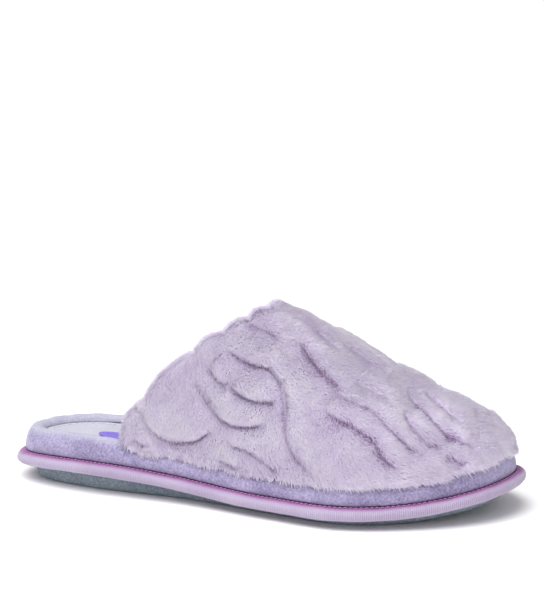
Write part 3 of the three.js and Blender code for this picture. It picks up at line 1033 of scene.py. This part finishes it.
def skin_grid():
    """The skin as rows from the toe to the opening, each from outer hem to inner hem."""
    around = (1 - np.cos(np.pi * np.linspace(0, 1, ARCH_COLUMNS))) / 2
    around = 0.35 * around + 0.65 * np.linspace(0, 1, ARCH_COLUMNS)
    tip = toe_tip(SKIN_DEPTH)
    edge = upper_at(throat_line(around), around, SKIN_DEPTH)
    run = np.linalg.norm(np.gradient(edge[:, 1:], axis=0), axis=1)
    slant = np.sqrt(1 + (np.gradient(edge[:, 0]) / np.maximum(run, 1e-6)) ** 2)
    lift = lift_of(around)
    setback = SETBACK * np.minimum(slant, 1.5) + 2.5 * (1 - ease(lift, 0, 0.2)) - EDGE_LOBE * edge_lobes(around)
    end = throat_line(around) + setback
    share = np.linspace(0, 1, TOE_ROWS) ** 1.6
    x = tip - (tip - end)[None] * share[:, None]
    return upper_at(x, np.broadcast_to(around, x.shape), SKIN_DEPTH), around


base, around = skin_grid()
normals = grid_normals(base)
normals[0] = (1, 0, 0.2)
moved, height, fold = sculpt(base.reshape(-1, 3), normals.reshape(-1, 3))
skin = moved.reshape(base.shape)
height, fold = height.reshape(base.shape[:2]), fold.reshape(base.shape[:2])
print("skin:", skin.shape, "lobes", round(height.max(), 2), "folds", round(height.min(), 2), "mm")

# %% Roll it round the opening, then tuck the hem


def evened(directions, reach=5):
    """Directions averaged with their neighbours along a row."""
    padded = np.pad(directions, ((reach, reach), (0, 0)), mode="edge")
    return unit(sum(padded[k:k + len(directions)] for k in range(2 * reach + 1)))


def rolled_edge(skin, shape_rows=14, facing_rows=8):
    """Rows that carry the skin round the opening's padded edge and a short way inside."""
    edge = skin[-1]
    over = evened(unit(np.gradient(edge, axis=0)))
    out = evened(grid_normals(skin)[-1])
    back = unit(np.cross(over, out))
    back *= np.sign((back * (edge - skin[-4])).sum())
    rows = []
    for angle in np.linspace(0, np.pi, shape_rows + 1)[1:]:
        fore, turn = np.sin(angle) ** SQUARENESS if angle < 3.14 else 0.0, np.cos(angle)
        rows.append(edge + back * ROLL_OUT * fore
                    - out * ROLL_IN * (1 - np.sign(turn) * abs(turn) ** SQUARENESS))
    for reach in np.linspace(0, FACING_REACH, facing_rows + 1)[1:]:
        rows.append(edge - out * (2 * ROLL_IN + 0.03 * reach) - back * reach)
    return np.array(rows)


def hem_columns(grid, side):
    """Columns that carry a side's edge down to the hem and turn it under."""
    column = grid[:, 0] if side < 0 else grid[:, -1]
    inwards = unit(grid[:, 8 if side < 0 else -9] - column) * (1, 1, 0)
    low = hem_height(column[:, 0])
    columns = []
    for share, under in ((0.35, 0), (0.7, 0.1), (0.92, 0.6), (1, 1.6), (1.02, 3.6)):
        place = column + inwards * under
        place[:, 2] = column[:, 2] + (low - column[:, 2]) * share
        columns.append(place)
    return columns


roll = rolled_edge(skin)
full = np.concatenate([skin, roll])
print("rows:", full.shape[0], "of", full.shape[1])

# %% Close the grid into one piece, and give it its attributes
wide = [np.array(column) for column in (hem_columns(full, -1), hem_columns(full, 1))]
sheet = np.concatenate([wide[0][::-1], full.transpose(1, 0, 2), wide[1]]).transpose(1, 0, 2)
SKIRT = len(wide[0])
faces = strip_faces(sheet.shape[0], sheet.shape[1])
last_column = sheet.shape[1] - 1
same = {k: min(k, last_column - k) for k in range(sheet.shape[1])}
sheet[0] = (sheet[0] + sheet[0][::-1]) / 2
faces = [[same.get(corner, corner) for corner in face] for face in faces.tolist()]


def spread(values):
    """Values on the sculpted rows and columns, carried over the whole sheet."""
    table = np.zeros(sheet.shape[:2])
    table[:TOE_ROWS, SKIRT:-SKIRT] = values
    return table


sheet_height, sheet_fold = spread(height), spread(fold)
sheet_normals = -grid_normals(sheet)
if (sheet_normals[TOE_ROWS // 2, sheet.shape[1] // 2] * (0, 0, 1)).sum() < 0:
    sheet_normals = -sheet_normals

plush_skin = add_mesh("plush_skin", sheet, faces, skin_cloth, closed=False)
centre_face = plush_skin.data.polygons[len(faces) // 2]
if centre_face.normal.z < 0:
    plush_skin.data.flip_normals()
plush_skin.data.validate()
print("skin faces:", len(plush_skin.data.polygons))

# %% [markdown]
# ## The pile
# Plush pile is dense short hair that was combed one way. Real hair curves would be heavy, so each
# visible tuft is one thin closed spike. A Geometry Nodes tree scatters them over the skin with fixed
# seeds, turns each to the skin and its nap, and lets it vary. Nine runs keep different shades: tufts
# of one plush never match, and tufts in folds and valleys carry painted shade, those on lobes painted light.

# %% Nap and shade of the pile
def smooth_noise(points, wave, seed):
    """Soft random values -1..1 over points in mm, from a few crossing waves."""
    random = np.random.default_rng(seed)
    total = np.zeros(points.shape[:-1])
    for _ in range(7):
        way = random.normal(size=3)
        way *= 2 * np.pi / wave / np.linalg.norm(way) * random.uniform(0.6, 1.6)
        total += np.sin(points @ way + random.uniform(0, 6.3))
    return np.clip(total / 3.2, -1, 1)


def pile_attributes():
    """Nap direction, shade 0 deep .. 1 pale (random tone, plus painted shade in folds and valleys and painted
    light on lobes), and length of the pile at every skin point.
    """
    lift = np.interp(np.arange(sheet.shape[1]), np.linspace(SKIRT, sheet.shape[1] - SKIRT, len(around)),
                     lift_of(around))
    down = unit(np.gradient(sheet, axis=1))
    down[:, sheet.shape[1] // 2:] *= -1
    down = -down
    forward = unit(-np.gradient(sheet, axis=0))
    drop = 0.25 + 0.75 * (1 - lift)
    nap = forward * 1.0 + down * drop[None, :, None] * 0.9
    nap[..., 0] += 0.35 * smooth_noise(sheet, 22, 3)
    nap[..., 1] += 0.35 * smooth_noise(sheet, 26, 4)
    nap[..., 2] += 0.35 * smooth_noise(sheet, 24, 5)
    # Shade: the noises are the plush's own random tone; the lobe height term is painted light, and the valley
    # depth and fold terms are painted shade.
    shade = (0.5 + 0.09 * smooth_noise(sheet, 30, 6) + 0.10 * smooth_noise(sheet, 9, 7)
             + 0.06 * np.maximum(sheet_height, 0) + 0.12 * np.minimum(sheet_height, 0) - 0.8 * sheet_fold)
    length = 1.0 + 0.12 * smooth_noise(sheet, 12, 8) - 0.35 * sheet_fold
    ragged = 1.25 + 0.45 * smooth_noise(sheet, 4, 9)
    for hem in (np.s_[:TOE_ROWS, :SKIRT + 3], np.s_[:TOE_ROWS, -SKIRT - 3:]):
        length[hem] *= ragged[hem]
    return unit(nap), np.clip(shade, 0, 1), length


nap, shade, length = pile_attributes()
pile_wanted = np.ones(sheet.shape[:2])
pile_wanted[:, :1] = pile_wanted[:, -1:] = 0
pile_wanted[-3:] = 0
give_attribute(plush_skin, "nap", "FLOAT_VECTOR", "vector", nap)
give_attribute(plush_skin, "shade", "FLOAT", "value", shade)
give_attribute(plush_skin, "pile_length", "FLOAT", "value", length * pile_wanted)

# %% One tuft, and the tree that sows it


def tuft_shape():
    """A thin closed spike one unit long, rising along Z and leaning along X."""
    mesh = bpy.data.meshes.new("tuft")
    mesh.from_pydata([(-0.04, -0.5, 0), (-0.04, 0.5, 0), (0.08, 0, 0), (0.74, 0, 0.54)], [],
                     [(0, 1, 3)[::-1], (1, 2, 3)[::-1], (2, 0, 3)[::-1], (0, 1, 2)])
    tuft = bpy.data.objects.new("tuft", mesh)
    bpy.context.scene.collection.objects.link(tuft)
    return tuft


def pile_tree():
    group, tree, given = geometry_tree("pile", {
        "Tuft": ("NodeSocketObject", None), "Colour": ("NodeSocketMaterial", None),
        "Density": ("NodeSocketFloat", 9.0e6), "Length": ("NodeSocketFloat", 3.7 * MM),
        "Width": ("NodeSocketFloat", 0.6 * MM), "From Shade": ("NodeSocketFloat", 0.0),
        "To Shade": ("NodeSocketFloat", 1.0)})
    sown = tree.node("GeometryNodeDistributePointsOnFaces", {"distribute_method": "RANDOM"}, {
        "Mesh": given["Geometry"], "Density": given["Density"], "Seed": 11})
    upright = Value(tree, sown.socket.node.outputs["Normal"])

    def named(name, kind):
        return tree.node("GeometryNodeInputNamedAttribute", {"data_type": kind}, {"Name": name})

    def chance(low, high, seed):
        return tree.node("FunctionNodeRandomValue", {"data_type": "FLOAT"}, {
            2: low, 3: high, "Seed": seed}, output=1)

    own_shade = named("shade", "FLOAT") + chance(-0.27, 0.27, 21)
    outside = (own_shade < given["From Shade"]) + (own_shade > given["To Shade"])
    bald = named("pile_length", "FLOAT") < 0.3
    kept = tree.node("GeometryNodeDeleteGeometry", {"domain": "POINT"}, {
        "Geometry": sown, "Selection": (outside + bald) > 0.5})
    turned = tree.node("FunctionNodeAxesToRotation", {"primary_axis": "Z", "secondary_axis": "X"}, {
        "Primary Axis": upright, "Secondary Axis": named("nap", "FLOAT_VECTOR")})
    wobble = tree.node("ShaderNodeCombineXYZ", {}, {
        0: chance(-0.2, 0.2, 31), 1: chance(-0.25, 0.2, 32), 2: chance(-0.5, 0.5, 33)})
    turned = tree.node("FunctionNodeRotateRotation", {"rotation_space": "LOCAL"}, {
        "Rotation": turned,
        "Rotate By": tree.node("FunctionNodeEulerToRotation", {}, {0: wobble})})
    reach = given["Length"] * named("pile_length", "FLOAT") * chance(0.7, 1.2, 34)
    size = tree.node("ShaderNodeCombineXYZ", {}, {0: reach, 1: given["Width"], 2: reach})
    tuft = tree.node("GeometryNodeObjectInfo", {}, {"Object": given["Tuft"]}, output=4)
    copies = tree.node("GeometryNodeInstanceOnPoints", {}, {
        "Points": kept, "Instance": tuft, "Rotation": turned, "Scale": size})
    finish_tree(tree, copies, given["Colour"])
    return group


tuft = tuft_shape()
pile = pile_tree()
print("pile tree nodes:", len(pile.nodes))

# %% Nine shades of tufts
# Tuft colours by shade, random tone and painted light together: the dark mauve fold colour is painted shade in
# the quilting folds, and lobes lean to the pale colours as painted light.
SHADES = {
    "fold": (0.42, 0.26, 0.50), "deep": (0.74, 0.63, 0.85), "dusk": (0.79, 0.69, 0.90),
    "mauve": (0.83, 0.74, 0.94), "lilac": (0.86, 0.78, 0.965), "soft": (0.88, 0.80, 0.98),
    "light": (0.90, 0.825, 0.985), "pale": (0.92, 0.855, 0.99), "frost": (0.95, 0.90, 1.0),
}
SHADE_STEPS = [-9, 0.02, 0.22, 0.33, 0.42, 0.5, 0.57, 0.65, 0.76, 9]


def soften_normals(piece, skin_points, skin_normals, share):
    """Leans every tuft's shading towards the skin below it, which makes the coat look dense."""
    tree = KDTree(len(skin_points))
    for number, place in enumerate(skin_points):
        tree.insert(place, number)
    tree.balance()
    mesh = piece.data
    count = len(mesh.vertices)
    places = np.zeros(count * 3)
    mesh.vertices.foreach_get("co", places)
    places = places.reshape(-1, 4, 3)
    found = np.array([tree.find(place)[1] for place in places[:, 0]])
    own = np.zeros(count * 3)
    mesh.vertices.foreach_get("normal", own)
    own = own.reshape(-1, 4, 3)
    below = skin_normals[found][:, None]
    mesh.normals_split_custom_set_from_vertices(unit(own * (1 - share) + below * share).reshape(-1, 3))


skin_places = sheet.reshape(-1, 3) * MM
skin_directions = sheet_normals.reshape(-1, 3)
tufts = 0
for (name, colour), low, high in zip(SHADES.items(), SHADE_STEPS, SHADE_STEPS[1:]):
    piece = plush_skin.copy()
    piece.data = plush_skin.data.copy()
    piece.data.materials.clear()
    piece.name = f"pile_{name}"
    bpy.context.scene.collection.objects.link(piece)
    hair = finish(f"pile_{name}", colour, 0.85, Sheen_Weight=0.3, Sheen_Roughness=0.5)
    run_tree(piece, pile, tuft=tuft, colour=hair, from_shade=low, to_shade=high)
    soften_normals(piece, skin_places, skin_directions, 0.3)
    tufts += len(piece.data.vertices) // 4
    settle(piece, "plush_lilac")
bpy.data.objects.remove(tuft)
settle(plush_skin, "plush_lilac", "upper_plush", "throat_facing")
print("tufts:", tufts)

# %% [markdown]
# ## Padding and lining of the upper
# Under the plush lies a thin foam interlining, and a smooth brushed lining faces the foot.
# Both follow the upper's own rule at their depth and stop short of the opening, where the
# plush wraps round their ends. Each is a closed shell, so it could be lifted out whole.

# %% Shells of the upper


def upper_shell(name, outer_depth, inner_depth, hem, setback, finish_of):
    """A closed shell of the upper between two depths, with straight sides down to its hem."""
    sides = []
    for depth in (outer_depth, inner_depth):
        turn = np.linspace(0, 1, 81)
        end = throat_line(turn, setback)
        share = np.linspace(0, 1, 70) ** 1.7
        x = toe_tip(depth) - (toe_tip(depth) - end)[None] * share[:, None]
        grid = upper_at(x, np.broadcast_to(turn, x.shape), depth)
        feet = [grid[:, side].copy() for side in (0, -1)]
        for foot in feet:
            foot[:, 2] = foot_level(foot[:, 0], hem) + 0.5
        grid = np.concatenate([feet[0][:, None], grid, feet[1][:, None]], 1)
        grid[0] = (grid[0] + grid[0][::-1]) / 2
        sides.append(grid)
    rows, columns = sides[0].shape[:2]
    size = rows * columns
    shell_faces = [*strip_faces(rows, columns), *(strip_faces(rows, columns)[:, ::-1] + size)]
    for side in (0, columns - 1):
        line = np.arange(rows) * columns + side
        quads = np.stack([line[:-1], line[1:], line[1:] + size, line[:-1] + size], -1)
        shell_faces += list(quads if side else quads[:, ::-1])
    line = np.arange(columns) + (rows - 1) * columns
    shell_faces += list(np.stack([line[1:], line[:-1], line[:-1] + size, line[1:] + size], -1))
    join = {k + start: min(k, columns - 1 - k) + start for k in range(columns) for start in (0, size)}
    joined = [[join.get(int(corner), int(corner)) for corner in face] for face in shell_faces]
    return add_mesh(name, np.concatenate([side.reshape(-1, 3) for side in sides]), joined, finish_of)


interlining = upper_shell("foam_interlining", 7.3, 10.3, RIM, 9.0, foam)
settle(interlining, "foam", "upper_interlining")
lining = upper_shell("brushed_upper_lining", 11.1, 12.2, 9.0, 9.0, sock_cloth)
settle(lining, "sock_grey_lavender", "upper_lining")

# %% The seam under the hem
seam_turns = np.linspace(0.1, 0.9, 2000)
seam_turns = seam_turns[sole_edge(seam_turns)[:, 0] > -50]
hem_line = along_edge(7.3, 11.3, foot_level, seam_turns)
stitch_line("hem_stitches", hem_line, False, 3.4, 0.3, "hem_seam_thread")

# %% [markdown]
# ## Floor, light and camera
# A plain white floor with a large soft light overhead and a bright room around it keeps
# shadows faint, so the lobes and the nap are told by the pile itself. The camera stands a
# little above the floor on the outer side of the foot, with a long lens.

# %% Stage
floor_mesh = bpy.data.meshes.new("floor")
floor_mesh.from_pydata([(-6, -6, 0), (6, -6, 0), (6, 6, 0), (-6, 6, 0)], [], [(0, 1, 2, 3)])
floor = bpy.data.objects.new("floor", floor_mesh)
bpy.context.scene.collection.objects.link(floor)
floor_mesh.materials.append(finish("floor_white", (0.98, 0.98, 0.98), 0.6))

room = bpy.data.worlds.new("room")
bpy.context.scene.world = room
room.use_nodes = True
room_tree = Tree(room.node_tree)
heading = room_tree.node("ShaderNodeTexCoord", output=0)
height_seen = room_tree.node("ShaderNodeSeparateXYZ", {}, {0: heading}, output=2)
HORIZON, ZENITH = (1.05,) * 3, (0.42,) * 3
glow = ramp(room_tree, height_seen, (0.0, HORIZON), (0.12, HORIZON), (0.3, ZENITH))
room_tree.node("ShaderNodeOutputWorld", {}, {"Surface": room_tree.node("ShaderNodeBackground", {}, {
    "Color": glow, "Strength": 1.0})})


def soft_sun(name, tilt, turn, angle, strength):
    """Even light from one side of the sky, softened by a wide angle."""
    lamp = bpy.data.lights.new(name, "SUN")
    lamp.angle, lamp.energy = math.radians(angle), strength
    light = bpy.data.objects.new(name, lamp)
    light.rotation_euler = (math.radians(tilt), 0, math.radians(turn))
    bpy.context.scene.collection.objects.link(light)
    return light


soft_sun("overhead", 20, -30, 55, 3.0)
soft_sun("front_fill", 55, 15, 90, 0.6)
scene = bpy.context.scene
scene.view_settings.view_transform = "Standard"
scene.view_settings.look = "None"

# %% Camera at the outer side of the foot, a little above the floor
AZIMUTH, ELEVATION, ROLL = (math.radians(v) for v in (22.34, 12.96, -0.96))
DISTANCE = 800.65
FOCAL = 95.95
AIM_RIGHT, AIM_UP = 7.5, 62.3
back = np.array([math.sin(AZIMUTH) * math.cos(ELEVATION), -math.cos(AZIMUTH) * math.cos(ELEVATION),
                 math.sin(ELEVATION)])
right = np.array([math.cos(AZIMUTH), math.sin(AZIMUTH), 0])
up = np.cross(back, right)
right, up = (math.cos(ROLL) * right + math.sin(ROLL) * up, -math.sin(ROLL) * right + math.cos(ROLL) * up)
centre = np.array([0, 2.8, 30])
eye = centre + back * DISTANCE
sight = unit(centre + right * AIM_RIGHT + up * AIM_UP - eye)
across = unit(np.cross(sight, up))
lens = bpy.data.cameras.new("camera")
lens.sensor_width, lens.lens, lens.clip_end = 36.0, FOCAL, 50
camera = bpy.data.objects.new("camera", lens)
turn = Matrix([across, np.cross(across, sight), -sight]).transposed().to_4x4()
camera.matrix_world = Matrix.Translation(Vector(eye * MM)) @ turn
bpy.context.scene.collection.objects.link(camera)
bpy.context.scene.camera = camera
print("camera:", [round(v, 3) for v in camera.location], "lens", lens.lens, "mm")
